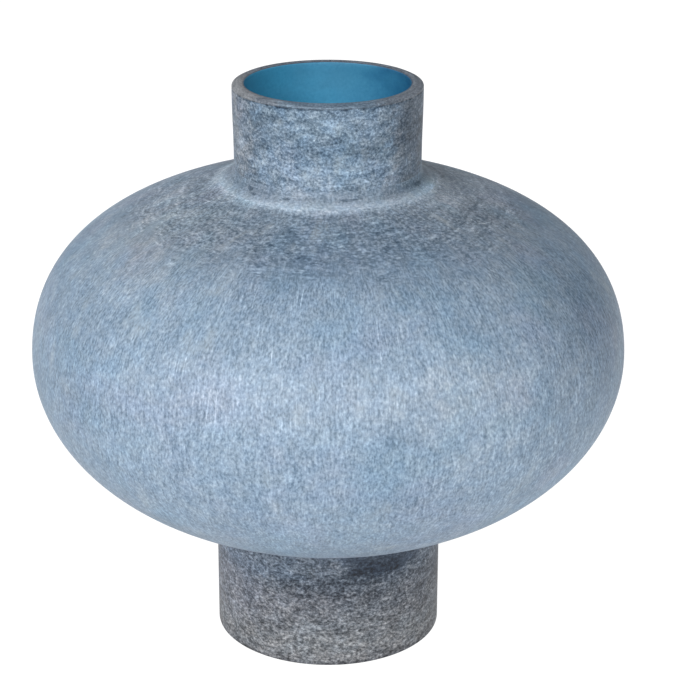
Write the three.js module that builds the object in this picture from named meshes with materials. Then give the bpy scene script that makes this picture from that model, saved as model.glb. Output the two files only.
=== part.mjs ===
// Hand blown art glass vase: a squat, wide belly between a cylindrical foot and a short neck.
// Millimetres, +Z up. The origin is the middle of the foot, on the surface the vase stands on.
//
// The glass is worked in two layers. A bubble of blue glass, the inner vessel, runs in one
// piece from the floor to the mouth. Frosted, brushed glass covers it outside in bands that
// meet edge to edge: foot sleeve, belly shell, neck collar and neck sleeve. A bevelled ring
// finishes the mouth, and a ground disc closes the hollow under the foot.

import * as THREE from "three";

// Overall sizes
const HEIGHT = 262;
const BELLY_RADIUS = 135;
const EQUATOR_HEIGHT = 138.5;

// Foot: an upright cylinder
const FOOT_RADIUS = 52.5;
const FOOT_HEIGHT = 59.1;
const FOOT_EDGE_BEVEL = 0.4;
const FOOT_RING_WIDTH = 12;
const FOOT_RING_HEIGHT = 9.7;
const HEEL_CORNER = 9;

// Belly: one smooth curve below the equator and one above it. Each has a pull at both ends.
const UNDERSIDE_RISE = THREE.MathUtils.degToRad(14.7);
const UNDERSIDE_PULL = 55.6;
const EQUATOR_PULL_BELOW = 32.3;
const EQUATOR_PULL_ABOVE = 61.5;
const SHOULDER_RADIUS = 48.6;
const SHOULDER_HEIGHT = 217.4;
const SHOULDER_SLOPE = THREE.MathUtils.degToRad(23.5);
const SHOULDER_PULL = 20;

// Neck: nearly straight, a little wider at the mouth
const NECK_BASE_RADIUS = 41.8;
const NECK_TOP_RADIUS = 42.3;
const NECK_BASE_HEIGHT = SHOULDER_HEIGHT + 0.9 * (SHOULDER_RADIUS - NECK_BASE_RADIUS);

// Lip: bevelled outside, and less so inside
const LIP_HEIGHT = 2.2;
const LIP_OUTER_BEVEL_WIDTH = 2.3;
const LIP_OUTER_BEVEL_HEIGHT = 1.1;
const LIP_INNER_BEVEL_WIDTH = 2.2;
const LIP_INNER_BEVEL_HEIGHT = 0.5;

// Glass thickness, and the gap between pieces
const WALL = 5.5;
const OUTER_LAYER = 2.75;
const GAP = 0.3;
const INNER_LAYER = WALL - OUTER_LAYER - GAP;

// Thick disc under the foot, ground to a shallow hollow where the working rod came off
const DISC_RECESS = 1.5;
const DISC_HOLLOW = 0.9;

// Fineness of the faceted surface
const SEGMENTS = 48;
const BELLY_STEPS = 8;
const FILLET_STEPS = 4;
const CORNER_STEPS = 3;
const HOLLOW_STEPS = 3;

const LIP_BASE = HEIGHT - LIP_HEIGHT;

function point(radius, height) {
  return new THREE.Vector2(radius, height);
}

// Centre of the round heel where the foot's wall turns into its floor
const HEEL = point(
  FOOT_RADIUS - OUTER_LAYER - HEEL_CORNER,
  FOOT_RING_HEIGHT + HEEL_CORNER,
);

// The outside of the vase, from the foot up. Each stretch is a curve in (radius, height).
const footWall = new THREE.LineCurve(
  point(FOOT_RADIUS, 0),
  point(FOOT_RADIUS, FOOT_HEIGHT),
);
const underside = new THREE.CubicBezierCurve(
  point(FOOT_RADIUS, FOOT_HEIGHT),
  point(
    FOOT_RADIUS + UNDERSIDE_PULL * Math.cos(UNDERSIDE_RISE),
    FOOT_HEIGHT + UNDERSIDE_PULL * Math.sin(UNDERSIDE_RISE),
  ),
  point(BELLY_RADIUS, EQUATOR_HEIGHT - EQUATOR_PULL_BELOW),
  point(BELLY_RADIUS, EQUATOR_HEIGHT),
);
const shoulder = new THREE.CubicBezierCurve(
  point(BELLY_RADIUS, EQUATOR_HEIGHT),
  point(BELLY_RADIUS, EQUATOR_HEIGHT + EQUATOR_PULL_ABOVE),
  point(
    SHOULDER_RADIUS + SHOULDER_PULL * Math.cos(SHOULDER_SLOPE),
    SHOULDER_HEIGHT - SHOULDER_PULL * Math.sin(SHOULDER_SLOPE),
  ),
  point(SHOULDER_RADIUS, SHOULDER_HEIGHT),
);
const fillet = new THREE.QuadraticBezierCurve(
  point(SHOULDER_RADIUS, SHOULDER_HEIGHT),
  point(
    NECK_BASE_RADIUS,
    SHOULDER_HEIGHT + (SHOULDER_RADIUS - NECK_BASE_RADIUS) * Math.tan(SHOULDER_SLOPE),
  ),
  point(NECK_BASE_RADIUS, NECK_BASE_HEIGHT),
);
const neckWall = new THREE.LineCurve(
  point(NECK_BASE_RADIUS, NECK_BASE_HEIGHT),
  point(NECK_TOP_RADIUS, LIP_BASE),
);

// Points along a curve, moved into the glass by depth, between two parameters of the curve.
function layer(curve, depth, steps, from = 0, to = 1) {
  const points = [];
  for (let step = 0; step <= steps; step += 1) {
    const along = from + ((to - from) * step) / steps;
    const place = curve.getPoint(along);
    const heading = curve.getTangent(along);
    points.push(point(place.x - heading.y * depth, place.y + heading.x * depth));
  }
  return points;
}

// Points on a round corner about a centre, between two angles in degrees.
function corner(centre, radius, fromDegrees, toDegrees, steps) {
  const points = [];
  for (let step = 0; step <= steps; step += 1) {
    const degrees = fromDegrees + ((toDegrees - fromDegrees) * step) / steps;
    const angle = THREE.MathUtils.degToRad(degrees);
    points.push(point(
      centre.x + radius * Math.cos(angle),
      centre.y + radius * Math.sin(angle),
    ));
  }
  return points;
}

// The turn between foot and belly, seen from inside the glass at a given depth.
function waistTurn(depth) {
  const centre = point(FOOT_RADIUS, FOOT_HEIGHT);
  const endDegrees = 90 + THREE.MathUtils.radToDeg(UNDERSIDE_RISE);
  return corner(centre, depth, 180, endDegrees, CORNER_STEPS);
}

// Neighbouring stretches share an end point, so repeats are dropped.
function joined(...stretches) {
  const points = [];
  for (const stretch of stretches) {
    for (const next of stretch) {
      const last = points[points.length - 1];
      if (!last || last.distanceTo(next) > 1e-6) {
        points.push(next);
      }
    }
  }
  return points;
}

// A piece of glass turned about the vase's axis. A profile that doesn't start on the axis
// is closed on itself.
function turned(name, profile, material) {
  const points = profile.slice();
  if (points[0].x > 0) {
    points.push(points[0].clone());
  }
  const mesh = new THREE.Mesh(new THREE.LatheGeometry(points, SEGMENTS), material);
  mesh.name = name;
  mesh.rotation.x = Math.PI / 2;
  return mesh;
}

function glass(color, roughness) {
  return new THREE.MeshStandardMaterial({ color, roughness, metalness: 0 });
}

function makeFootSleeve() {
  const ringInside = FOOT_RADIUS - FOOT_RING_WIDTH;
  const profile = joined(
    [
      point(ringInside, 0),
      point(FOOT_RADIUS - FOOT_EDGE_BEVEL, 0),
      point(FOOT_RADIUS, FOOT_EDGE_BEVEL),
      point(FOOT_RADIUS, FOOT_HEIGHT - GAP),
      point(FOOT_RADIUS - OUTER_LAYER, FOOT_HEIGHT - GAP),
    ],
    corner(HEEL, HEEL_CORNER, 0, -90, CORNER_STEPS),
    [point(ringInside, FOOT_RING_HEIGHT)],
  );
  return turned("foot_sleeve", profile, glass(0x777b80, 0.75));
}

function makeBaseDisc() {
  const radius = FOOT_RADIUS - FOOT_RING_WIDTH - GAP;
  const profile = [];
  for (let step = 0; step <= HOLLOW_STEPS; step += 1) {
    const out = step / HOLLOW_STEPS;
    profile.push(point(radius * out, DISC_RECESS + DISC_HOLLOW * (1 - out * out)));
  }
  profile.push(point(radius, FOOT_RING_HEIGHT));
  profile.push(point(0, FOOT_RING_HEIGHT));
  return turned("base_disc", profile, glass(0x4f86a5, 0.6));
}

function makeBellyShell() {
  const outside = joined(
    layer(underside, 0, BELLY_STEPS),
    layer(shoulder, 0, BELLY_STEPS),
  );
  const inside = joined(
    waistTurn(OUTER_LAYER),
    layer(underside, OUTER_LAYER, BELLY_STEPS),
    layer(shoulder, OUTER_LAYER, BELLY_STEPS),
  );
  return turned("belly_shell", [...outside, ...inside.reverse()], glass(0x94abc1, 0.7));
}

function makeNeckCollar() {
  const start = 0.02;
  const outside = layer(fillet, 0, FILLET_STEPS, start);
  const inside = layer(fillet, OUTER_LAYER, FILLET_STEPS, start);
  return turned("neck_collar", [...outside, ...inside.reverse()], glass(0xaec0cf, 0.6));
}

function makeNeckSleeve() {
  const length = neckWall.getLength();
  const start = GAP / length;
  const outside = layer(neckWall, 0, 1, start, 1 - start);
  const inside = layer(neckWall, OUTER_LAYER, 1, start, 1 - start);
  return turned("neck_sleeve", [...outside, ...inside.reverse()], glass(0x8397ab, 0.75));
}

function makeLipRing() {
  const inside = NECK_TOP_RADIUS - WALL;
  const profile = [
    point(inside, LIP_BASE),
    point(NECK_TOP_RADIUS, LIP_BASE),
    point(NECK_TOP_RADIUS, HEIGHT - LIP_OUTER_BEVEL_HEIGHT),
    point(NECK_TOP_RADIUS - LIP_OUTER_BEVEL_WIDTH, HEIGHT),
    point(inside + LIP_INNER_BEVEL_WIDTH, HEIGHT),
    point(inside, HEIGHT - LIP_INNER_BEVEL_HEIGHT),
  ];
  return turned("lip_ring", profile, glass(0x6f7f8a, 0.55));
}

function makeInnerVessel() {
  const outsideDepth = OUTER_LAYER + GAP;
  const neckEnd = 1 - GAP / neckWall.getLength();
  const floorBottom = FOOT_RING_HEIGHT + GAP;
  const outside = joined(
    [point(0, floorBottom)],
    corner(HEEL, HEEL_CORNER - GAP, -90, 0, CORNER_STEPS),
    waistTurn(outsideDepth),
    layer(underside, outsideDepth, BELLY_STEPS),
    layer(shoulder, outsideDepth, BELLY_STEPS),
    layer(fillet, outsideDepth, FILLET_STEPS),
    layer(neckWall, outsideDepth, 1, 0, neckEnd),
  );
  const inside = joined(
    [point(0, floorBottom + INNER_LAYER)],
    corner(HEEL, HEEL_CORNER - GAP - INNER_LAYER, -90, 0, CORNER_STEPS),
    waistTurn(WALL),
    layer(underside, WALL, BELLY_STEPS),
    layer(shoulder, WALL, BELLY_STEPS),
    layer(fillet, WALL, FILLET_STEPS),
    layer(neckWall, WALL, 1, 0, neckEnd),
  );
  return turned("inner_vessel", [...outside, ...inside.reverse()], glass(0x4384a8, 0.35));
}

const vase = new THREE.Group();
vase.add(
  makeInnerVessel(),
  makeFootSleeve(),
  makeBaseDisc(),
  makeBellyShell(),
  makeNeckCollar(),
  makeNeckSleeve(),
  makeLipRing(),
);

export default vase;
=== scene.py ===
"""Looks for the hand blown art glass vase: frosted, brushed glass bands over a satin blue vessel."""

import math

import bmesh
import bpy
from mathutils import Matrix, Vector


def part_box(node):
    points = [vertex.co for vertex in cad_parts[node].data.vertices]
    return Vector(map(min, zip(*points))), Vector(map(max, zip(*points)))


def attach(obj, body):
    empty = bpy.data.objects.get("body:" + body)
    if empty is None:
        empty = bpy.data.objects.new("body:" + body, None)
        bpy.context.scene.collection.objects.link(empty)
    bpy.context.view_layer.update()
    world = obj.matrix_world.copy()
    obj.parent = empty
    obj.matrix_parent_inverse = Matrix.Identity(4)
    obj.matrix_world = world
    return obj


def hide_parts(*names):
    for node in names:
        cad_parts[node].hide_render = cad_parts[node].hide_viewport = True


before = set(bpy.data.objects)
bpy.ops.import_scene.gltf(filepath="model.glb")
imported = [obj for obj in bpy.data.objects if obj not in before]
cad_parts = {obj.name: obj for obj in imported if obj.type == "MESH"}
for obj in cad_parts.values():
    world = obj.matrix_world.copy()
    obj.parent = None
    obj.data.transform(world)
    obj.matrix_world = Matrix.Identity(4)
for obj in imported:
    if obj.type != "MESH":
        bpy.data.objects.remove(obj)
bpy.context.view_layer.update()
scene = bpy.context.scene

MM = 0.001

# ------------------------------------------------------------------ the CAD model's sizes, in mm

_, belly_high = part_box("belly_shell")
_, foot_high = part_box("foot_sleeve")
lip_low, lip_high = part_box("lip_ring")
disc_low, disc_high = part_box("base_disc")

# The gap between pieces
GAP = 0.3

HEIGHT = lip_high.z / MM
BELLY_RADIUS = belly_high.x / MM
FOOT_RADIUS = foot_high.x / MM
FOOT_HEIGHT = foot_high.z / MM + GAP
SHOULDER_RADIUS = 48.6
SHOULDER_HEIGHT = 217.4
NECK_BASE_RADIUS = 41.8
NECK_TOP_RADIUS = lip_high.x / MM
LIP_BASE = lip_low.z / MM
LIP_OUTER_BEVEL_WIDTH = 2.3
LIP_OUTER_BEVEL_HEIGHT = 1.1
LIP_INNER_BEVEL_WIDTH = 2.2
LIP_INNER_BEVEL_HEIGHT = 0.5
DISC_RADIUS = disc_high.x / MM
DISC_RECESS = disc_low.z / MM
RING_INSIDE = DISC_RADIUS + GAP
RING_HEIGHT = disc_high.z / MM
DISC_HOLLOW = 0.9
HEEL_CORNER = 9.0

# The belly's curves: how hard each end of a curve pulls, and its slope
EQUATOR_HEIGHT = 138.5
UNDERSIDE_RISE = math.radians(14.7)
UNDERSIDE_PULL = 55.6
EQUATOR_PULL_BELOW = 32.3
EQUATOR_PULL_ABOVE = 61.5
SHOULDER_SLOPE = math.radians(23.5)
SHOULDER_PULL = 20.0

# How far the round under the neck goes up, for each mm that it goes in
FILLET_RISE = 0.9

# How far up the neck its slight widening lies
NECK_EASE = 20.0

# How thick the glass is in all, and its outer layer
WALL = 5.5
OUTER_LAYER = 2.75

# Points nearer to each other than this are one point, and a radius below it is on the axis
TOUCHING = 1e-4

# ------------------------------------------------------------------ outlines, as (radius, height) in mm


def bezier(points, along):
    """A point on a Bezier curve of any order, and its unit heading."""
    level = [Vector(p) for p in points]
    while len(level) > 2:
        level = [a.lerp(b, along) for a, b in zip(level, level[1:])]
    heading = (level[1] - level[0]).normalized()
    return level[0].lerp(level[1], along), heading


NECK_BASE_HEIGHT = SHOULDER_HEIGHT + FILLET_RISE * (SHOULDER_RADIUS - NECK_BASE_RADIUS)
UNDERSIDE = [
    (FOOT_RADIUS, FOOT_HEIGHT),
    (
        FOOT_RADIUS + UNDERSIDE_PULL * math.cos(UNDERSIDE_RISE),
        FOOT_HEIGHT + UNDERSIDE_PULL * math.sin(UNDERSIDE_RISE),
    ),
    (BELLY_RADIUS, EQUATOR_HEIGHT - EQUATOR_PULL_BELOW),
    (BELLY_RADIUS, EQUATOR_HEIGHT),
]
SHOULDER = [
    (BELLY_RADIUS, EQUATOR_HEIGHT),
    (BELLY_RADIUS, EQUATOR_HEIGHT + EQUATOR_PULL_ABOVE),
    (
        SHOULDER_RADIUS + SHOULDER_PULL * math.cos(SHOULDER_SLOPE),
        SHOULDER_HEIGHT - SHOULDER_PULL * math.sin(SHOULDER_SLOPE),
    ),
    (SHOULDER_RADIUS, SHOULDER_HEIGHT),
]
FILLET = [
    (SHOULDER_RADIUS, SHOULDER_HEIGHT),
    (
        NECK_BASE_RADIUS,
        SHOULDER_HEIGHT + (SHOULDER_RADIUS - NECK_BASE_RADIUS) * math.tan(SHOULDER_SLOPE),
    ),
    (NECK_BASE_RADIUS, NECK_BASE_HEIGHT),
]
NECK_WALL = [
    (NECK_BASE_RADIUS, NECK_BASE_HEIGHT),
    (NECK_BASE_RADIUS, NECK_BASE_HEIGHT + NECK_EASE),
    (NECK_TOP_RADIUS, NECK_BASE_HEIGHT + NECK_EASE),
    (NECK_TOP_RADIUS, LIP_BASE),
]


def layer(curve, depth, steps):
    """Points along a curve, moved into the glass by depth."""
    points = []
    for step in range(steps + 1):
        place, heading = bezier(curve, step / steps)
        points.append((place.x - heading.y * depth, place.y + heading.x * depth))
    return points


def arc(centre, radius, start, end, steps):
    """Points on an arc, with angles in degrees from the outward direction."""
    points = []
    for step in range(steps + 1):
        angle = math.radians(start + (end - start) * step / steps)
        points.append(
            (centre[0] + radius * math.cos(angle), centre[1] + radius * math.sin(angle))
        )
    return points


def eased(before, at, after, radius, steps=3):
    """A small round on the corner at a point, between the points before and after it."""
    before, at, after = Vector(before), Vector(at), Vector(after)
    start = at + (before - at).normalized() * radius
    end = at + (after - at).normalized() * radius
    return [tuple(bezier([start, at, end], step / steps)[0]) for step in range(steps + 1)]


def waist_turn(depth, steps):
    """The turn between foot and belly, inside the glass."""
    end = 90 + math.degrees(UNDERSIDE_RISE)
    return arc((FOOT_RADIUS, FOOT_HEIGHT), depth, 180, end, steps)


def joined(*stretches):
    """Stretches end to end, without repeating the points that they share."""
    points = []
    for stretch in stretches:
        for point in stretch:
            if not points or math.dist(points[-1], point) > TOUCHING:
                points.append(point)
    return points


def length(outline):
    return sum(math.dist(start, end) for start, end in zip(outline, outline[1:]))


OUTSIDE = joined(
    [(FOOT_RADIUS, 0), (FOOT_RADIUS, FOOT_HEIGHT)],
    layer(UNDERSIDE, 0, 40),
    layer(SHOULDER, 0, 40),
    layer(FILLET, 0, 12),
    layer(NECK_WALL, 0, 12),
    [(NECK_TOP_RADIUS, HEIGHT)],
)

# How far along the outside, from the floor, each band of glass starts
BELLY_START = FOOT_HEIGHT
COLLAR_START = BELLY_START + length(layer(UNDERSIDE, 0, 60)) + length(layer(SHOULDER, 0, 60))
NECK_START = COLLAR_START + length(layer(FILLET, 0, 20))


def on_outside(azimuth, height):
    """The outside's point at an azimuth in degrees from the front, positive to the right."""
    turn = math.radians(azimuth)
    for lower, upper in zip(OUTSIDE, OUTSIDE[1:]):
        if lower[1] <= height <= upper[1]:
            share = (height - lower[1]) / (upper[1] - lower[1])
            radius = lower[0] + (upper[0] - lower[0]) * share
            return radius * math.sin(turn), -radius * math.cos(turn), height
    raise ValueError(f"no part of the outside is {height} mm up")


# ------------------------------------------------------------------ turned glass pieces


# How far the hot glass moved from its true outline, in mm
SWAY = 0.05
RIPPLE = 0.03
LEAN = 0.25
FULLNESS = 0.7
SAG = 0.3


def hand_blown(angle, radius, height):
    """Where a point of the true outline lies in the glass, as (radius, sideways, height) in mm.

    The hot glass sank a little inwards in soft waves, two broad and five small ones round it, which
    drift on the way up. The underside sagged. The shoulder stands fuller on the left, and the neck
    leans that way.
    """
    sway = 0.5 + 0.5 * math.sin(2 * angle + 0.7 + height * 0.011)
    ripple = 0.5 + 0.5 * math.sin(5 * angle + 0.4 - height * 0.05)
    above = max(0.0, height - EQUATOR_HEIGHT) / (HEIGHT - EQUATOR_HEIGHT)
    leftward = 0.5 - 0.5 * math.cos(angle)
    fullness = math.sin(math.pi * above) ** 2 * leftward
    below = min(max(0.0, (EQUATOR_HEIGHT - height) / (EQUATOR_HEIGHT - FOOT_HEIGHT)), 1.0)
    sag = math.sin(math.pi * below) ** 2
    return (
        radius - SWAY * sway - RIPPLE * ripple,
        -LEAN * above,
        height + FULLNESS * fullness - SAG * sag,
    )


# An edge that turns by more than this is shown sharp
SHARP_ANGLE = math.radians(35)


def turned(name, outline, segments, start=0.0):
    """A mesh turned about +Z from an outline in mm, closed on itself unless it starts on the axis.

    The point attribute "brushing" holds where a point lies in the brushed pattern: its direction
    from the axis, and how far along the outline it is in mm, counted on from start.
    """
    on_axis = outline[0][0] < TOUCHING
    mesh = bpy.data.meshes.new(name)
    form = bmesh.new()
    brushing = form.verts.layers.float_vector.new("brushing")
    rows = []
    travelled = start
    previous = outline[0]
    for radius, height in outline:
        travelled += math.dist(previous, (radius, height))
        previous = (radius, height)
        if radius < TOUCHING:
            tip = form.verts.new((0, 0, height * MM))
            tip[brushing] = (0, 0, travelled)
            rows.append([tip] * segments)
            continue
        row = []
        for number in range(segments):
            angle = 2 * math.pi * number / segments
            across, away = math.cos(angle), math.sin(angle)
            reach, sideways, raised = hand_blown(angle, radius, height)
            place = Vector((reach * across + sideways, reach * away, raised))
            vertex = form.verts.new(place * MM)
            vertex[brushing] = (across, away, travelled)
            row.append(vertex)
        rows.append(row)
    pairs = list(zip(rows, rows[1:]))
    if not on_axis:
        pairs.append((rows[-1], rows[0]))
    for lower, upper in pairs:
        for number in range(segments):
            after = (number + 1) % segments
            face = []
            for corner in (lower[number], lower[after], upper[after], upper[number]):
                if corner not in face:
                    face.append(corner)
            if len(face) > 2:
                form.faces.new(face).smooth = True
    bmesh.ops.recalc_face_normals(form, faces=form.faces)
    for edge in form.edges:
        if edge.calc_face_angle(0.0) > SHARP_ANGLE:
            edge.smooth = False
    form.to_mesh(mesh)
    form.free()
    piece = bpy.data.objects.new(name, mesh)
    scene.collection.objects.link(piece)
    return piece


# ------------------------------------------------------------------ shader building


def linear(red, green, blue):
    """A colour in sRGB values from 0 to 255, as the linear numbers that shaders take."""
    values = []
    for value in (red, green, blue):
        share = value / 255
        values.append(share / 12.92 if share <= 0.04045 else ((share + 0.055) / 1.055) ** 2.4)
    return tuple(values)


def opaque(colour):
    """A fixed colour with its alpha. A socket stays as it is."""
    return (*colour, 1.0) if isinstance(colour, tuple) else colour


DISPLAY_GAMMA = 2.2

# Noise cells for each mm across, away and up, where noise makes an edge ragged or breaks a line
PATCH_EDGE = (0.2, 0.2, 0.35)
CLOUD_EDGE = (0.07, 0.07, 0.09)
SEAM_BREAKS = (0.22, 0.22, 0.1)


class Shading:
    """A material's node tree, with short calls for the nodes that brushed glass needs."""

    def __init__(self, name):
        self.material = bpy.data.materials.new(name)
        self.material.use_nodes = True
        self.tree = self.material.node_tree
        self.surface = next(n for n in self.tree.nodes if n.type == "BSDF_PRINCIPLED")
        self.place = self.node("ShaderNodeAttribute", attribute_name="brushing").outputs["Vector"]
        metres = self.node("ShaderNodeTexCoord").outputs["Object"]
        self.position = self.vector("DIVIDE", metres, (MM, MM, MM))
        self.height = self.node("ShaderNodeSeparateXYZ", {0: self.position}).outputs["Z"]

    def connect(self, value, socket):
        if isinstance(value, bpy.types.NodeSocket):
            self.tree.links.new(value, socket)
        else:
            socket.default_value = value

    def node(self, kind, values=(), **settings):
        made = self.tree.nodes.new(kind)
        for key, setting in settings.items():
            setattr(made, key, setting)
        for key, value in dict(values).items():
            self.connect(value, made.inputs[key])
        return made

    def math(self, operation, a, b):
        return self.node("ShaderNodeMath", {0: a, 1: b}, operation=operation).outputs[0]

    def total(self, *values):
        made = values[0]
        for value in values[1:]:
            made = self.math("ADD", made, value)
        return made

    def times(self, *values):
        made = values[0]
        for value in values[1:]:
            made = self.math("MULTIPLY", made, value)
        return made

    def vector(self, operation, a, b):
        return self.node("ShaderNodeVectorMath", {0: a, 1: b}, operation=operation).outputs[0]

    def fade(self, value, start, end):
        """0 before start and 1 past end, with a soft turn between. End may be the lower of the two."""
        made = self.node(
            "ShaderNodeMapRange", {"Value": value, 1: start, 2: end}, interpolation_type="SMOOTHSTEP"
        )
        return made.outputs["Result"]

    def cells(self, circle, around, along, place=None):
        """Noise coordinates with cells around by along mm in size, on a circle of that radius in mm."""
        scale = (circle / around, circle / around, 1 / along)
        return self.vector("MULTIPLY", place or self.place, scale)

    def noise(self, cells, detail=1.0, roughness=0.5, shift=0.0, output="Fac"):
        made = self.node(
            "ShaderNodeTexNoise",
            {"Vector": cells, "Scale": 1.0, "Detail": detail, "Roughness": roughness, "W": shift},
            noise_dimensions="4D",
        )
        return made.outputs[output]

    def centred(self, value, gain):
        """Noise as a change either side of 0."""
        return self.math("MULTIPLY", self.math("SUBTRACT", value, 0.5), gain)

    def bent(self, circle, reach, size):
        """The pattern's place, bent sideways by up to about reach mm over a distance of size mm."""
        drift = self.noise(self.cells(circle, size, size), shift=7.0, output="Color")
        drift = self.vector("SUBTRACT", drift, (0.5, 0.5, 0.5))
        drift = self.vector("MULTIPLY", drift, (reach / circle, reach / circle, reach))
        return self.vector("ADD", self.place, drift)

    def away_from(self, azimuth, height, width, tall):
        """Distance from a place on the outside: 1 at half of width across, or at half of tall up."""
        away = self.vector("SUBTRACT", self.position, on_outside(azimuth, height))
        away = self.vector("MULTIPLY", away, (2 / width, 2 / width, 2 / tall))
        return self.node("ShaderNodeVectorMath", {0: away}, operation="LENGTH").outputs["Value"]

    def patch(self, azimuth, height, width, tall, ragged=0.35):
        """1 in a ragged patch of the outside, about width by tall in mm, and 0 beyond it."""
        cells = self.vector("MULTIPLY", self.position, PATCH_EDGE)
        edge = self.centred(self.noise(cells, detail=3.0, roughness=0.65), 4 * ragged)
        distance = self.away_from(azimuth, height, width, tall)
        return self.fade(self.math("ADD", distance, edge), start=1.25, end=0.65)

    def clouds(self, rows):
        """Broad, soft changes, from (azimuth, height, width, tall, change) rows in mm, added up."""
        cells = self.vector("MULTIPLY", self.position, CLOUD_EDGE)
        drift = self.centred(self.noise(cells, detail=3.0, shift=61.0), 1.6)
        parts = []
        for azimuth, height, width, tall, change in rows:
            distance = self.away_from(azimuth, height, width, tall)
            near = self.fade(self.math("ADD", distance, drift), start=1.7, end=0.1)
            parts.append(self.times(near, change))
        return self.total(*parts)

    def blend(self, share, low, high, mode="MIX"):
        made = self.node("ShaderNodeMix", data_type="RGBA", blend_type=mode)
        self.connect(share, made.inputs[0])
        self.connect(opaque(low), made.inputs[6])
        self.connect(opaque(high), made.inputs[7])
        return made.outputs[2]

    def tint(self, share, colour, shade):
        """The colour, multiplied by a shade as far as share says."""
        return self.blend(share, colour, shade, "MULTIPLY")

    def tones(self, stops):
        """Colour by height, from (height in mm, sRGB colour) stops, as linear ** (1 / DISPLAY_GAMMA)."""
        band = self.node("ShaderNodeValToRGB", {"Fac": self.math("DIVIDE", self.height, HEIGHT)})
        while len(band.color_ramp.elements) < len(stops):
            band.color_ramp.elements.new(0.5)
        for element, (height, colour) in zip(band.color_ramp.elements, stops):
            element.position = height / HEIGHT
            element.color = opaque(tuple(value ** (1 / DISPLAY_GAMMA) for value in linear(*colour)))
        return band.outputs["Color"]

    def finish(self, colour, grain, roughness, change, depth, specular=0.35):
        """Connects the colour, and the grain as roughness and bump, and returns the material.

        Roughness is what the glass has where the grain is 0, and it changes by change for each 1 of
        grain. Depth is the bump's, in mm.
        """
        rough = self.math("ADD", self.math("MULTIPLY", grain, change), roughness)
        bump = self.node("ShaderNodeBump", {"Height": grain, "Strength": 0.5, "Distance": depth * MM})
        self.connect(colour, self.surface.inputs["Base Color"])
        self.connect(rough, self.surface.inputs["Roughness"])
        self.connect(bump.outputs["Normal"], self.surface.inputs["Normal"])
        self.surface.inputs["Specular IOR Level"].default_value = specular
        return self.material


# ------------------------------------------------------------------ colours and patches of the glass

# Colours, in sRGB values from 0 to 255
# Painted shadow: the foot's bottom edge, and a little above it
FOOT_EDGE_SHADOW_GREY = (55, 58, 64)
LOW_FOOT_SHADOW_GREY = (92, 94, 98)
FOOT_GREY = (100, 103, 107)
FOOT_SLATE = (80, 85, 93)
UPPER_FOOT_SLATE = (84, 93, 104)
# Painted shadow under the belly, on the foot's top and the belly's lowest edge, fading up its underside
WAIST_SHADOW_NAVY = (52, 64, 78)
WAIST_SHADOW_BLUE = (84, 102, 118)
UNDERSIDE_SHADED_BLUE = (105, 122, 138)
BELLY_BLUE = (117, 137, 155)
# Painted highlight: a lighter band round the belly
HIGHLIGHT_BAND_BLUE = (125, 143, 160)
# The shoulder's grey glass, made darker as painted shade
SHOULDER_GREY_AND_SHADE = (103, 120, 136)
COLLAR_GREY = (105, 120, 134)
# The ring's paler glass, with a painted highlight on it
RING_BLUE_AND_HIGHLIGHT = (148, 165, 179)
NECK_SLATE = (114, 132, 149)
UPPER_NECK_SLATE = (97, 115, 132)
LIP_GREY = (84, 92, 102)
LIP_EDGE_BLUE = (36, 56, 80)
DARK_DISC_BLUE = (60, 76, 94)
PALE_DISC_BLUE = (124, 140, 154)

# Where the glass has them, as (height in mm, colour). Some stops are painted shadow, painted shade or a
# painted highlight, as noted.
FOOT_TONES = [
    # painted shadow along the foot's bottom edge
    (0, FOOT_EDGE_SHADOW_GREY),
    (1.5, LOW_FOOT_SHADOW_GREY),
    (10, FOOT_GREY),
    (34, FOOT_SLATE),
    (44, UPPER_FOOT_SLATE),
    (54, UPPER_FOOT_SLATE),
    # painted shadow on the foot's top, under the belly
    (59, WAIST_SHADOW_NAVY),
]
GLASS_TONES = [
    # painted shadow on the belly's lowest edge, fading up the underside
    (59, WAIST_SHADOW_BLUE),
    (62, UNDERSIDE_SHADED_BLUE),
    (100, BELLY_BLUE),
    (140, BELLY_BLUE),
    # painted highlight: a lighter band round the belly
    (162, HIGHLIGHT_BAND_BLUE),
    (180, BELLY_BLUE),
    (188, BELLY_BLUE),
    # the shoulder's grey, made darker as painted shade
    (206, SHOULDER_GREY_AND_SHADE),
    (216, COLLAR_GREY),
    # the ring's paler glass, with a painted highlight on it
    (217.8, RING_BLUE_AND_HIGHLIGHT),
    (220.6, COLLAR_GREY),
    (226, NECK_SLATE),
    (236, NECK_SLATE),
    (242, UPPER_NECK_SLATE),
    (262, UPPER_NECK_SLATE),
]

# Linear colours
PALE_GREEN = (0.40, 0.45, 0.45)
DEEP_SATIN_BLUE = (0.056, 0.287, 0.49)
BRIGHT_SATIN_BLUE = (0.106, 0.413, 0.653)

# Shades, which a colour is multiplied by
TEAL_SHADE = (0.82, 0.98, 1.04)
LAVENDER_SHADE = (1.06, 0.97, 1.0)
COOL_FLECK = (0.93, 0.99, 1.05)
WARM_FLECK = (1.07, 1.0, 0.94)
COOL_SHADE = (0.9, 1.0, 1.1)
WARM_SHADE = (1.12, 0.985, 0.9)
LEFT_NECK_SHADE = (1.06, 0.94, 0.88)
# Painted shade for the neck's right flank
RIGHT_NECK_SHADOW_TINT = (0.85, 0.77, 0.74)
BLUISH_SHADE = (0.97, 1.03, 1.08)
LEFT_FOOT_SHADE = (0.98, 0.985, 1.03)
NAVY_SHADE = (0.93, 0.99, 1.08)
FRONT_LIP_SHADE = (0.86, 1.05, 1.16)
LEFT_LIP_SHADE = (1.08, 1.0, 0.92)
# Painted shade inside the mouth, deepening towards its top
MOUTH_PAINTED_SHADE = (0.46, 0.545, 0.56)
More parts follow.
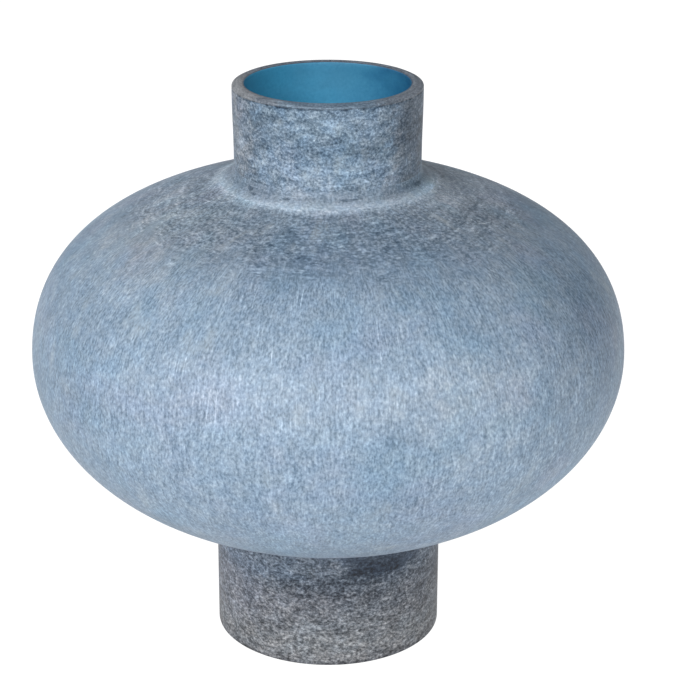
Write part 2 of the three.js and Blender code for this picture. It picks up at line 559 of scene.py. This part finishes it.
# Painted light on the inside's left, and painted shade on its right
LEFT_INSIDE_LIGHT_TINT = (1.1, 1.34, 1.34)
RIGHT_INSIDE_SHADE_TINT = (0.2, 0.42, 0.57)

# Patches, as (azimuth in degrees, height, width, tall in mm)
LEFT_NECK = (-68, 246, 34, 46)
# painted shade on the neck's right flank
RIGHT_NECK_SHADOW = (62, 240, 34, 60)
NAVY_PATCH = (31, 52, 46, 19)
NAVY_TAIL = (20, 46, 24, 14)
BLUISH_WAIST = (-40, 50, 66, 22)
SCRAPE = (52, 49, 13, 18)
LEFT_FOOT = (-64, 32, 60, 44)
FRONT_LIP = (0, HEIGHT, 50, 20)
LEFT_LIP = (-80, HEIGHT, 50, 20)
# painted light on the inside's left, and painted shade on its right
LEFT_INSIDE_PAINTED_LIGHT = (-120, 250, 64, 80)
RIGHT_INSIDE_PAINTED_SHADE = (94, 250, 60, 80)

# Dark nicks where the neck was worked, as patches
NICKS = [
    (-51.0, 221.0, 3.0, 1.8),
    (-46.0, 219.8, 3.0, 0.9),
    (65.0, 220.6, 7.0, 1.6),
    (-24.0, 220.2, 4.0, 0.8),
    (12.0, 220.4, 9.0, 0.7),
]

# Broad patches that are paler or darker than the glass round them, as patches and a change of tone. Some
# are painted highlights, painted light or painted shade, as noted.
BELLY_MARKS_AND_PAINTED_LIGHT = [
    # painted highlights either side of the middle, and lower on the right
    (-17, 166, 44, 24, 0.1),
    (24, 160, 46, 48, 0.14),
    (28, 128, 60, 34, 0.1),
    # dark marks between them, and one above on the left
    (12, 148, 20, 14, -0.12),
    (-10, 159, 44, 15, -0.1),
    (-24, 183, 32, 22, -0.08),
    # a pale mark on the brow, under the shoulder's dark edge
    (8, 193, 34, 12, 0.1),
    (8, 210, 130, 12, -0.1),
    # painted highlight on the upper left
    (-58, 199, 90, 28, 0.16),
    # painted shade on the flanks
    (-60, 160, 70, 46, -0.12),
    (64, 175, 60, 50, -0.28),
    # painted light beside the collar, and round behind it
    (-76, 210, 46, 12, 0.12),
    (68, 216, 36, 9, 0.34),
    (98, 212, 50, 14, 0.28),
    (-112, 204, 96, 34, 0.28),
    (130, 206, 80, 26, 0.36),
]
COLLAR_MARKS_AND_HIGHLIGHTS = [
    # painted highlights at both ends of the ring
    (-74, 218, 20, 5, 0.1),
    (68, 217, 26, 8, 0.26),
    # dark above it
    (-50, 220.5, 32, 7, -0.2),
    (56, 221, 26, 6, -0.26),
]
NECK_MARKS_AND_PAINTED_SHADE = [
    # painted shade at both sides, with a pale mark at the left edge
    (-54, 227, 22, 20, -0.24),
    (-48, 250, 28, 24, -0.12),
    (66, 236, 28, 44, -0.2),
    (-66, 242, 16, 12, 0.28),
    # dark across the middle, with pale marks above it
    (-14, 236, 28, 10, -0.08),
    (14, 240, 26, 8, -0.2),
    (15, 252, 26, 9, 0.14),
    (32, 243, 12, 7, 0.14),
]
LIP_CLOUDS = [
    # pale at both sides, and a little in front
    (-80, 261, 50, 20, 0.5),
    (8, 261, 50, 20, 0.12),
    (78, 261, 40, 20, 0.26),
]
FOOT_MARKS_AND_PAINTED_SHADE = [
    # painted shade under the waist, and pale on the left
    (8, 41, 68, 16, -0.24),
    (-62, 36, 52, 34, 0.25),
    # pale and dark marks lower down
    (-24, 28, 24, 10, 0.12),
    (-34, 20, 26, 14, -0.1),
    (0, 16, 30, 14, 0.07),
]

# Broad patches of the belly that are warmer than the glass round them, or cooler below 0
BELLY_WARMTH = [
    # warmer at both ends of the shoulder, and cooler between them
    (-60, 205, 80, 42, 0.75),
    (64, 208, 60, 36, 0.5),
    (2, 202, 100, 22, -0.25),
    # warmer under the painted highlight on the right side, and above it
    (26, 156, 46, 40, 0.4),
    (50, 190, 50, 24, 0.35),
]

# Heights, in mm, between which one look of the glass gives way to another
DRAWN_BRUSHING_TOP = 198
SPUN_BRUSHING_BOTTOM = 208
BRIGHT_STROKES_BOTTOM = 185
SOFT_STROKES_TOP = 150
TURNED_LINES_TOP = 238
TURNED_LINES_FULL = 230
# where painted shade inside the mouth begins
MOUTH_PAINTED_SHADE_BOTTOM = HEIGHT - 34

# Circles that the brushed patterns are laid out on, in mm
SHOULDER_CIRCLE = 60.0
MOUTH_CIRCLE = 40.0
DISC_CIRCLE = 20.0

# How much a white speck adds to the grain, and the least that any colour of the glass is shown as
WHITE_SPECK = 0.42
DARKEST = 0.02

# ------------------------------------------------------------------ the glass's patterns


def drawn_strokes(glass):
    """Fine strokes up and down the belly, a little askew, and a few long pale ones between them."""
    askew = glass.bent(BELLY_RADIUS, reach=4.0, size=30.0)
    wavy = glass.bent(BELLY_RADIUS, reach=5.0, size=40.0)
    fine_cells = glass.cells(BELLY_RADIUS, around=1.0, along=1.6, place=askew)
    thread_cells = glass.cells(BELLY_RADIUS, around=1.5, along=8.0, place=askew)
    long_cells = glass.cells(BELLY_RADIUS, around=0.8, along=16.0, place=wavy)
    group_cells = glass.cells(BELLY_RADIUS, around=26.0, along=22.0)
    fine = glass.noise(fine_cells, detail=2.0, roughness=0.6)
    threads = glass.noise(thread_cells, detail=2.0, roughness=0.6, shift=9.0)
    pale = glass.fade(glass.noise(long_cells, shift=3.0), 0.6, 0.78)
    groups = glass.fade(glass.noise(group_cells, shift=5.0), 0.42, 0.66)
    lower_down = glass.fade(glass.height, BRIGHT_STROKES_BOTTOM, SOFT_STROKES_TOP)
    strength = glass.math("SUBTRACT", 0.62, glass.times(lower_down, 0.22))
    return glass.total(
        glass.centred(fine, 1.98), glass.centred(threads, 0.9), glass.times(pale, groups, strength)
    )


def spun_streaks(glass, circle, gain, around, along):
    """Short streaks round the glass, as a spinning brush leaves them, and white specks."""
    fine = glass.noise(glass.cells(circle, around, along), detail=2.5, roughness=0.7, shift=11.0)
    speck_cells = glass.cells(circle, 0.85 * around, 0.9 * along)
    specks = glass.fade(glass.noise(speck_cells, shift=15.0), 0.62, 0.8)
    return glass.total(glass.centred(fine, gain), glass.times(specks, WHITE_SPECK))


def mottle(glass, circle, around, along, gain, shift=13.0, place=None):
    """Soft spots around by along mm in size."""
    cells = glass.cells(circle, around, along, place)
    return glass.centred(glass.noise(cells, detail=3.0, roughness=0.6, shift=shift), gain)


def turned_lines(glass, circle):
    """Thin pale lines round the glass, broken here and there."""
    lines = glass.noise(glass.cells(circle, around=30.0, along=0.8), detail=2.0, shift=17.0)
    return glass.fade(lines, 0.58, 0.72)


def dark_seam(glass, start, end):
    """A dark line where the lip meets the neck, broken here and there. It deepens from start to end."""
    cells = glass.vector("MULTIPLY", glass.position, SEAM_BREAKS)
    broken = glass.noise(cells, detail=2.0, shift=37.0)
    return glass.times(glass.fade(glass.height, start, end), glass.fade(broken, 0.42, 0.6), -0.6)


def tinted(glass, circle, colour, amount=1.0, flecks=0.4):
    """Changes of colour: broad ones to teal, lavender and pale green, and small ones to warm or cool."""
    teal_cells = glass.cells(circle, around=42.0, along=34.0)
    lavender_cells = glass.cells(circle, around=36.0, along=30.0)
    green_cells = glass.cells(circle, around=16.0, along=22.0)
    fleck_cells = glass.cells(circle, around=8.0, along=6.0)
    teal = glass.fade(glass.noise(teal_cells, detail=2.0, shift=21.0), 0.48, 0.68)
    lavender = glass.fade(glass.noise(lavender_cells, detail=2.0, shift=31.0), 0.48, 0.68)
    green = glass.fade(glass.noise(green_cells, detail=2.0, shift=41.0), 0.58, 0.74)
    fleck = glass.fade(glass.noise(fleck_cells, detail=4.0, roughness=0.7, shift=51.0), 0.38, 0.62)
    colour = glass.tint(glass.times(teal, 0.45 * amount), colour, TEAL_SHADE)
    colour = glass.tint(glass.times(lavender, 0.45 * amount), colour, LAVENDER_SHADE)
    colour = glass.blend(glass.times(green, 0.2 * amount), colour, PALE_GREEN)
    return glass.tint(flecks, colour, glass.blend(fleck, COOL_FLECK, WARM_FLECK))


def warmed(glass, colour, rows):
    """The colour, warmer in patches where the row's last number is above 0 and cooler below it."""
    share = glass.math("ADD", glass.math("MULTIPLY", glass.clouds(rows), 0.5), 0.5)
    return glass.tint(1.0, colour, glass.blend(share, COOL_SHADE, WARM_SHADE))


def frosted(glass, stops, grain, contrast):
    """The glass's colour: its tone by height, and contrast sRGB steps more for each 1 of grain."""
    steps = glass.math("MULTIPLY", grain, contrast / 255)
    shown = glass.vector("ADD", glass.tones(stops), steps)
    shown = glass.vector("MAXIMUM", shown, (DARKEST, DARKEST, DARKEST))
    return glass.node("ShaderNodeGamma", {"Color": shown, "Gamma": DISPLAY_GAMMA}).outputs["Color"]


def satin_blue(glass):
    """The blue inside, with faint rings from the blowing and tiny seeds, painted shade towards the mouth
    and on the right, and painted light on the left: its grain and its colour.
    """
    ring_cells = glass.cells(MOUTH_CIRCLE, around=60.0, along=6.0)
    seed_cells = glass.cells(MOUTH_CIRCLE, around=1.4, along=1.4)
    rings = glass.noise(ring_cells, detail=2.0, shift=27.0)
    seeds = glass.noise(seed_cells, detail=2.0, roughness=0.6, shift=29.0)
    grain = glass.total(glass.centred(rings, 0.7), glass.centred(seeds, 1.1))
    colour = glass.blend(glass.math("ADD", grain, 0.5), DEEP_SATIN_BLUE, BRIGHT_SATIN_BLUE)
    # painted shade inside the mouth, deepening towards its top
    colour = glass.tint(glass.fade(glass.height, MOUTH_PAINTED_SHADE_BOTTOM, HEIGHT), colour, MOUTH_PAINTED_SHADE)
    # painted light on the inside's left, and painted shade on its right
    colour = glass.tint(glass.clouds([(*LEFT_INSIDE_PAINTED_LIGHT, 1.0)]), colour, LEFT_INSIDE_LIGHT_TINT)
    return grain, glass.tint(glass.clouds([(*RIGHT_INSIDE_PAINTED_SHADE, 1.0)]), colour, RIGHT_INSIDE_SHADE_TINT)


# ------------------------------------------------------------------ materials


def frosted_blue_glass():
    """The belly: drawn strokes on blue, turning to spun streaks on the grey shoulder."""
    glass = Shading("frosted_blue_glass")
    edge_cells = glass.cells(BELLY_RADIUS, around=9.0, along=9.0)
    edge = glass.noise(edge_cells, detail=3.0, roughness=0.6, shift=2.0)
    ragged_height = glass.math("ADD", glass.height, glass.centred(edge, 30.0))
    shoulder = glass.fade(ragged_height, DRAWN_BRUSHING_TOP, SPUN_BRUSHING_BOTTOM)
    wandering = glass.bent(SHOULDER_CIRCLE, reach=14.0, size=18.0)
    scuff_cells = glass.cells(SHOULDER_CIRCLE, around=6.0, along=1.7, place=wandering)
    scuffs = glass.fade(glass.noise(scuff_cells, shift=18.0), 0.58, 0.8)
    spun = glass.total(
        spun_streaks(glass, SHOULDER_CIRCLE, gain=2.9, around=1.3, along=1.4),
        mottle(glass, SHOULDER_CIRCLE, around=9.0, along=2.6, gain=1.35, shift=14.0, place=wandering),
        glass.times(scuffs, 0.45),
    )
    rubbed_cells = glass.cells(BELLY_RADIUS, around=5.0, along=11.0)
    rubbed = glass.fade(glass.noise(rubbed_cells, detail=3.0, roughness=0.65, shift=20.0), 0.58, 0.78)
    grain = glass.total(
        glass.times(drawn_strokes(glass), glass.math("SUBTRACT", 1.0, shoulder)),
        glass.times(spun, shoulder),
        mottle(glass, BELLY_RADIUS, around=5.0, along=12.0, gain=0.36),
        glass.times(rubbed, 0.18),
    )
    shaded = glass.total(
        grain,
        # broad marks, with painted highlights, painted light and painted shade among them
        glass.clouds(BELLY_MARKS_AND_PAINTED_LIGHT),
        mottle(glass, BELLY_RADIUS, around=24.0, along=30.0, gain=0.35, shift=16.0),
    )
    colour = tinted(glass, BELLY_RADIUS, frosted(glass, GLASS_TONES, shaded, contrast=72))
    colour = warmed(glass, colour, BELLY_WARMTH)
    return glass.finish(colour, grain, roughness=0.58, change=0.12, depth=0.05)


def pale_blue_glass():
    """The collar: the neck's specks end here in a paler ring, with a painted highlight on it, and thin
    turned lines.
    """
    glass = Shading("pale_blue_glass")
    nicks = glass.total(*[glass.patch(*nick, ragged=0.45) for nick in NICKS])
    grain = glass.total(
        spun_streaks(glass, SHOULDER_CIRCLE, gain=2.6, around=1.6, along=1.0),
        mottle(glass, SHOULDER_CIRCLE, around=9.0, along=1.6, gain=0.9),
        glass.times(turned_lines(glass, SHOULDER_CIRCLE), 0.3),
        glass.times(nicks, -0.5),
    )
    # broad marks, with painted highlights at the ring's ends among them
    shaded = glass.math("ADD", grain, glass.clouds(COLLAR_MARKS_AND_HIGHLIGHTS))
    colour = frosted(glass, GLASS_TONES, shaded, contrast=62)
    colour = tinted(glass, SHOULDER_CIRCLE, colour, flecks=0.5)
    return glass.finish(colour, grain, roughness=0.6, change=0.1, depth=0.04)


def brushed_slate_glass():
    """The neck: white and dark specks, with faint turned lines near its foot, greyer flanks, and painted
    shade at both sides, deepest on the right flank.
    """
    glass = Shading("brushed_slate_glass")
    low_down = glass.fade(glass.height, TURNED_LINES_TOP, TURNED_LINES_FULL)
    grain = glass.total(
        spun_streaks(glass, SHOULDER_CIRCLE, gain=3.1, around=1.7, along=1.05),
        mottle(glass, SHOULDER_CIRCLE, around=11.0, along=3.0, gain=1.9),
        glass.times(turned_lines(glass, SHOULDER_CIRCLE), low_down, 0.3),
    )
    seam = dark_seam(glass, LIP_BASE - 1.0, LIP_BASE - 0.2)
    # broad marks, with painted shade at the neck's sides among them
    shaded = glass.total(grain, seam, glass.clouds(NECK_MARKS_AND_PAINTED_SHADE))
    colour = frosted(glass, GLASS_TONES, shaded, contrast=75)
    colour = tinted(glass, SHOULDER_CIRCLE, colour, flecks=0.75)
    colour = glass.tint(glass.patch(*LEFT_NECK), colour, LEFT_NECK_SHADE)
    # painted shade on the neck's right flank
    colour = glass.tint(glass.patch(*RIGHT_NECK_SHADOW), colour, RIGHT_NECK_SHADOW_TINT)
    return glass.finish(colour, grain, roughness=0.62, change=0.12, depth=0.06)


def brushed_charcoal_glass():
    """The foot: charcoal with salt and pepper specks, navy where the grinding missed it."""
    glass = Shading("brushed_charcoal_glass")
    navy = glass.patch(*NAVY_PATCH, ragged=0.45)
    navy_tail = glass.patch(*NAVY_TAIL, ragged=0.5)
    bluish = glass.patch(*BLUISH_WAIST, ragged=0.5)
    scrape = glass.patch(*SCRAPE, ragged=0.5)
    grain = glass.total(
        spun_streaks(glass, FOOT_RADIUS, gain=3.55, around=1.6, along=1.15),
        mottle(glass, FOOT_RADIUS, around=8.0, along=2.8, gain=1.6),
    )
    calmer = glass.math("SUBTRACT", 1.0, glass.times(navy, 0.4))
    shaded = glass.total(
        glass.times(grain, calmer),
        # broad marks, with painted shade under the waist among them
        glass.clouds(FOOT_MARKS_AND_PAINTED_SHADE),
        glass.times(scrape, 0.14),
        glass.times(navy, -0.4),
        glass.times(navy_tail, -0.12),
    )
    colour = frosted(glass, FOOT_TONES, shaded, contrast=77)
    colour = tinted(glass, FOOT_RADIUS, colour, amount=0.3)
    colour = glass.tint(bluish, colour, BLUISH_SHADE)
    colour = glass.tint(glass.patch(*LEFT_FOOT), colour, LEFT_FOOT_SHADE)
    colour = glass.tint(navy, colour, NAVY_SHADE)
    return glass.finish(colour, grain, roughness=0.64, change=0.12, depth=0.07)


def ground_blue_glass():
    """The disc under the foot: ground in circles."""
    glass = Shading("ground_blue_glass")
    ring_cells = glass.cells(DISC_CIRCLE, around=16.0, along=0.7)
    speck_cells = glass.cells(DISC_CIRCLE, around=0.9, along=0.9)
    rings = glass.noise(ring_cells, detail=2.0, shift=19.0)
    specks = glass.noise(speck_cells, detail=2.0, roughness=0.7, shift=23.0)
    grain = glass.total(glass.centred(rings, 1.0), glass.centred(specks, 1.2))
    share = glass.math("ADD", grain, 0.5)
    colour = glass.blend(share, linear(*DARK_DISC_BLUE), linear(*PALE_DISC_BLUE))
    return glass.finish(colour, grain, roughness=0.6, change=0.1, depth=0.04)


def clear_blue_glass():
    """The vessel: satin blue all over."""
    glass = Shading("clear_blue_glass")
    grain, colour = satin_blue(glass)
    return glass.finish(colour, grain, roughness=0.42, change=0.1, depth=0.03, specular=0.4)


def smoked_lip_glass():
    """The lip ring: slate grey with specks, a broken dark line at its foot, and a blue inner face."""
    glass = Shading("smoked_lip_glass")
    haze_cells = glass.cells(MOUTH_CIRCLE, around=9.0, along=1.2)
    speck_cells = glass.cells(MOUTH_CIRCLE, around=1.1, along=0.8)
    haze = glass.noise(haze_cells, detail=3.0, shift=33.0)
    specks = glass.noise(speck_cells, detail=2.5, roughness=0.7, shift=35.0)
    grain = glass.total(glass.centred(haze, 1.4), glass.centred(specks, 2.4))
    seam = dark_seam(glass, LIP_BASE + 0.8, LIP_BASE + 0.1)
    shaded = glass.total(grain, seam, glass.clouds(LIP_CLOUDS))
    colour = frosted(glass, [(0, LIP_GREY), (HEIGHT, LIP_GREY)], shaded, contrast=60)
    colour = glass.tint(glass.patch(*FRONT_LIP), colour, FRONT_LIP_SHADE)
    colour = glass.tint(glass.patch(*LEFT_LIP), colour, LEFT_LIP_SHADE)
    travelled = glass.node("ShaderNodeSeparateXYZ", {0: glass.place}).outputs["Z"]
    inner_edge = length(lip_outline()) - (HEIGHT - LIP_INNER_BEVEL_HEIGHT - LIP_BASE)
    dark_edge = glass.fade(travelled, inner_edge - 0.9, inner_edge - 0.1)
    inner_face = glass.fade(travelled, inner_edge - 0.1, inner_edge + 0.1)
    colour = glass.blend(glass.times(dark_edge, 0.6), colour, linear(*LIP_EDGE_BLUE))
    _, blue = satin_blue(glass)
    colour = glass.blend(inner_face, colour, blue)
    return glass.finish(colour, grain, roughness=0.5, change=0.1, depth=0.03, specular=0.4)


# ------------------------------------------------------------------ the pieces

# Steps along each of the belly's curves where the glass is covered
HIDDEN_STEPS = 10


def make_belly():
    """The belly's shell. Its outside is fine enough for a smooth outline."""
    outside = joined(layer(UNDERSIDE, 0, 76), layer(SHOULDER, 0, 80))
    inside = joined(
        waist_turn(OUTER_LAYER, 3),
        layer(UNDERSIDE, OUTER_LAYER, HIDDEN_STEPS),
        layer(SHOULDER, OUTER_LAYER, HIDDEN_STEPS),
    )
    return turned("frosted_belly", outside + inside[::-1], segments=480, start=BELLY_START)


def make_foot():
    """The foot's wall, and the flat ring that it stands on."""
    edge = 0.5
    inner_radius = FOOT_RADIUS - OUTER_LAYER
    start = RING_INSIDE - FOOT_RADIUS - RING_HEIGHT
    outline = joined(
        [(RING_INSIDE, RING_HEIGHT)],
        eased((RING_INSIDE, RING_HEIGHT), (RING_INSIDE, 0), (FOOT_RADIUS, 0), edge),
        [(RING_INSIDE + (FOOT_RADIUS - RING_INSIDE) * step / 6, 0) for step in range(1, 6)],
        eased((RING_INSIDE, 0), (FOOT_RADIUS, 0), (FOOT_RADIUS, FOOT_HEIGHT), edge),
        [(FOOT_RADIUS, FOOT_HEIGHT * step / 40) for step in range(1, 41)],
        [(inner_radius, FOOT_HEIGHT), (inner_radius, RING_HEIGHT)],
    )
    return turned("brushed_foot", outline, segments=384, start=start)


def make_disc():
    """The disc inside the foot's ring, ground to a shallow hollow."""
    hollow = []
    steps = 16
    for step in range(steps + 1):
        out = step / steps
        hollow.append((DISC_RADIUS * out, DISC_RECESS + DISC_HOLLOW * (1 - out * out)))
    rest = [(DISC_RADIUS, RING_HEIGHT), (0, RING_HEIGHT)]
    return turned("ground_disc", joined(hollow, rest), segments=192)


def make_collar():
    """The round between the belly and the neck."""
    outside = layer(FILLET, 0, 16)
    inside = layer(FILLET, OUTER_LAYER, 6)
    return turned("pale_collar", outside + inside[::-1], segments=384, start=COLLAR_START)


def make_neck():
    """The neck's sleeve."""
    outside = layer(NECK_WALL, 0, 48)
    inside = layer(NECK_WALL, OUTER_LAYER, 8)
    return turned("brushed_neck", outside + inside[::-1], segments=384, start=NECK_START)


def lip_outline():
    """The lip ring, from its underside out and round. Its crown is rounded, and more so outside."""
    inside = NECK_TOP_RADIUS - WALL
    underside = (inside + 1, LIP_BASE)
    foot = (NECK_TOP_RADIUS, LIP_BASE)
    shoulder = (NECK_TOP_RADIUS, HEIGHT - LIP_OUTER_BEVEL_HEIGHT)
    brow = (NECK_TOP_RADIUS - LIP_OUTER_BEVEL_WIDTH, HEIGHT)
    crown = (inside + LIP_INNER_BEVEL_WIDTH, HEIGHT)
    rim = (inside, HEIGHT - LIP_INNER_BEVEL_HEIGHT)
    inner_foot = (inside, LIP_BASE)
    return joined(
        [underside],
        eased(underside, foot, shoulder, radius=0.25),
        eased(foot, shoulder, brow, radius=0.8, steps=6),
        eased(shoulder, brow, crown, radius=0.5, steps=5),
        eased(brow, crown, rim, radius=0.5, steps=5),
        eased(crown, rim, inner_foot, radius=0.4, steps=5),
        [inner_foot],
    )


def make_lip():
    return turned("bevelled_lip", lip_outline(), segments=384)


def make_vessel():
    """The inner vessel, in one piece from the floor to the mouth."""
    heel = (FOOT_RADIUS - OUTER_LAYER - HEEL_CORNER, RING_HEIGHT + HEEL_CORNER)
    covered = OUTER_LAYER + GAP
    outside = joined(
        [(0, RING_HEIGHT + GAP)],
        arc(heel, HEEL_CORNER - GAP, -90, 0, 6),
        waist_turn(covered, 3),
        layer(UNDERSIDE, covered, HIDDEN_STEPS),
        layer(SHOULDER, covered, HIDDEN_STEPS),
        layer(FILLET, covered, 6),
        layer(NECK_WALL, covered, 8),
    )
    floor = RING_HEIGHT + WALL - OUTER_LAYER
    inside = joined(
        [(step * heel[0] / 12, floor) for step in range(13)],
        arc(heel, HEEL_CORNER - WALL + OUTER_LAYER, -90, 0, 8),
        waist_turn(WALL, 10),
        layer(UNDERSIDE, WALL, 40),
        layer(SHOULDER, WALL, 40),
        layer(FILLET, WALL, 10),
        layer(NECK_WALL, WALL, 20),
    )
    return turned("blue_vessel", outside + inside[::-1], segments=320)


def finish_piece(piece, node, material):
    piece.data.materials.append(material)
    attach(piece, "root")
    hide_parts(node)


finish_piece(make_vessel(), "inner_vessel", clear_blue_glass())
finish_piece(make_foot(), "foot_sleeve", brushed_charcoal_glass())
finish_piece(make_disc(), "base_disc", ground_blue_glass())
finish_piece(make_belly(), "belly_shell", frosted_blue_glass())
finish_piece(make_collar(), "neck_collar", pale_blue_glass())
finish_piece(make_neck(), "neck_sleeve", brushed_slate_glass())
finish_piece(make_lip(), "lip_ring", smoked_lip_glass())

# ------------------------------------------------------------------ floor, light and camera


WHITE = (1, 1, 1, 1)
FLOOR_GREY = (0.08, 0.08, 0.08, 1)
FLOOR_RADIUS = 12.0
FLOOR_GLOW = 1.02
SKY_STRENGTH = 0.25


def make_floor():
    """A plain white table that glows, so the vase stands in white without a shadow."""
    mesh = bpy.data.meshes.new("studio_floor")
    form = bmesh.new()
    bmesh.ops.create_circle(form, cap_ends=True, segments=96, radius=FLOOR_RADIUS)
    form.to_mesh(mesh)
    form.free()
    floor = bpy.data.objects.new("studio_floor", mesh)
    scene.collection.objects.link(floor)
    material = bpy.data.materials.new("pale_floor")
    material.use_nodes = True
    surface = next(n for n in material.node_tree.nodes if n.type == "BSDF_PRINCIPLED")
    surface.inputs["Base Color"].default_value = FLOOR_GREY
    surface.inputs["Specular IOR Level"].default_value = 0.0
    surface.inputs["Roughness"].default_value = 1.0
    surface.inputs["Emission Color"].default_value = WHITE
    surface.inputs["Emission Strength"].default_value = FLOOR_GLOW
    mesh.materials.append(material)


def make_world():
    """Even white light from all round."""
    world = bpy.data.worlds.new("studio")
    world.use_nodes = True
    background = world.node_tree.nodes["Background"]
    background.inputs["Color"].default_value = WHITE
    background.inputs["Strength"].default_value = SKY_STRENGTH
    scene.world = world


def make_sun(name, azimuth, elevation, strength, spread=40):
    """Soft light from far away. Azimuth 0 is on the camera's side, and positive is to the right."""
    data = bpy.data.lights.new(name, "SUN")
    data.energy = strength
    data.angle = math.radians(spread)
    sun = bpy.data.objects.new(name, data)
    scene.collection.objects.link(sun)
    turn, tilt = math.radians(azimuth), math.radians(elevation)
    level = math.cos(tilt)
    towards = Vector((math.sin(turn) * level, -math.cos(turn) * level, math.sin(tilt)))
    sun.rotation_mode = "QUATERNION"
    sun.rotation_quaternion = towards.to_track_quat("Z", "Y")


def make_camera():
    """The camera looks at the axis, from in front and a little above."""
    elevation = math.radians(21.18)
    distance = 0.9852
    data = bpy.data.cameras.new("camera")
    data.lens = 110.06
    data.sensor_width = 36.0
    data.shift_x = 0.0311
    data.shift_y = 0.0009
    camera = bpy.data.objects.new("camera", data)
    scene.collection.objects.link(camera)
    target = Vector((0, 0, BELLY_RADIUS * MM))
    back = Vector((0, -math.cos(elevation), math.sin(elevation)))
    camera.location = target + back * distance
    camera.rotation_mode = "QUATERNION"
    camera.rotation_quaternion = back.to_track_quat("Z", "Y")
    scene.camera = camera


make_floor()
make_world()
make_sun("key", azimuth=-40, elevation=35, strength=1.75)
make_sun("high_left", azimuth=-75, elevation=60, strength=1.1)
make_sun("low_front", azimuth=-10, elevation=10, strength=0.65)
make_sun("low_right", azimuth=15, elevation=13, strength=1.4)
make_camera()
scene.view_settings.view_transform = "Standard"
